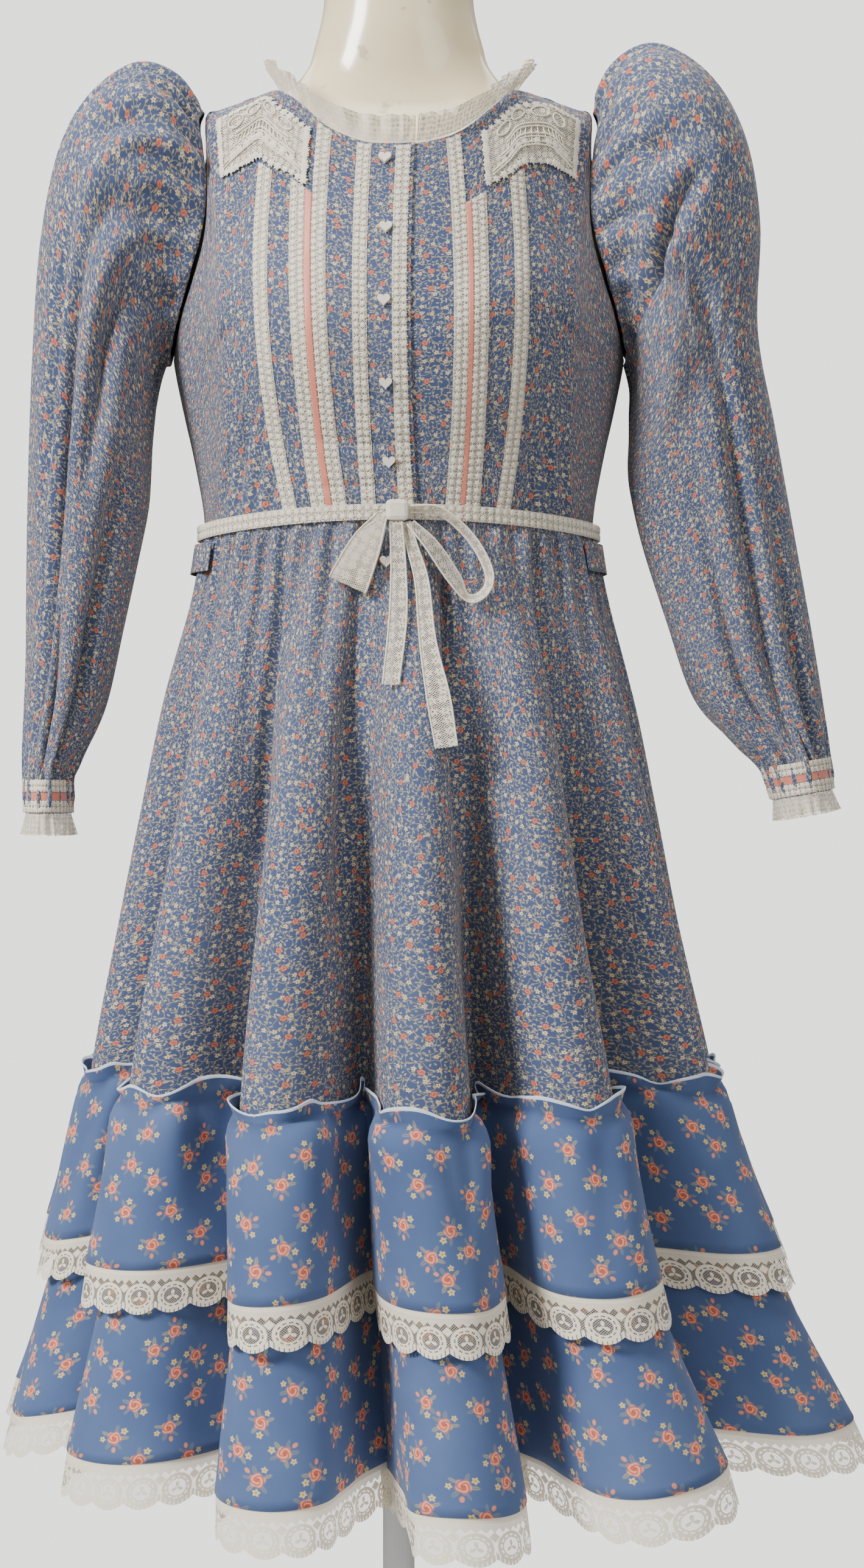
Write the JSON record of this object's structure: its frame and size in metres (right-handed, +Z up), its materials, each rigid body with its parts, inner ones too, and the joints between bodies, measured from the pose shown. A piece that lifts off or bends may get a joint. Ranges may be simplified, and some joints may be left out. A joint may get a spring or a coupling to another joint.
{
  "type": "peasant dress on a limbless dress form",
  "caption": "Long-sleeved peasant dress with lace tapes, puffed sleeves, gathered skirt and lace-edged hem ruffles, worn by a limbless form on a pole and round base.",
  "frame": {"origin": "middle of the stand's base on the floor, under the form's axis", "axes": "+Z up, the dress's front faces -Y, +X to the right of someone looking at the front"},
  "size_m": [0.6646, 0.6166, 1.49],
  "materials": {
    "form_shell": "smooth cream gloss shell",
    "stand": "satin painted steel",
    "calico": "fine cotton calico, slate blue with a close small flower sprig in tan, cream and rose",
    "rose_print": "plain weave cotton, mid blue with spaced rose sprigs",
    "lace": "ivory cotton lace",
    "ribbon": "salmon satin ribbon",
    "button": "ivory moulded heart buttons"
  },
  "bodies": {
    "root": {"dress_form": "form_shell", "stand_pole": "stand", "stand_base": "stand", "bodice_front_left": "calico", "bodice_front_right": "calico", "bodice_back": "calico", "sleeve_left": "calico", "sleeve_right": "calico", "skirt": "calico", "sash_left": "calico", "sash_right": "calico", "sash_knot": "calico", "sash_loop_left": "calico", "sash_loop_right": "calico", "sash_tail_left": "calico", "sash_tail_right": "calico", "ruffle_upper": "rose_print", "ruffle_lower": "rose_print", "ruffle_upper_lace": "lace", "ruffle_lower_lace": "lace", "neck_frill": "lace", "lace_belt": "lace", "bow_knot": "lace", "bow_loop_left": "lace", "bow_loop_right": "lace", "bow_tail_left": "lace", "bow_tail_right": "lace", "lace_strip_outer_left": "lace", "lace_strip_ribbon_left_a": "lace", "lace_strip_ribbon_left_b": "lace", "lace_strip_inner_left": "lace", "lace_strip_placket": "lace", "lace_strip_ribbon_right_a": "lace", "lace_strip_ribbon_right_b": "lace", "lace_strip_outer_right": "lace", "yoke_lace_left": "lace", "yoke_lace_right": "lace", "cuff_lace_upper_left": "lace", "cuff_lace_lower_left": "lace", "cuff_lace_upper_right": "lace", "cuff_lace_lower_right": "lace", "cuff_frill_left": "lace", "cuff_frill_right": "lace", "ribbon_left": "ribbon", "ribbon_right": "ribbon", "cuff_ribbon_left": "ribbon", "cuff_ribbon_right": "ribbon", "button_1": "button", "button_2": "button", "button_3": "button", "button_4": "button", "button_5": "button", "button_skirt": "button"}
  },
  "joints": []
}
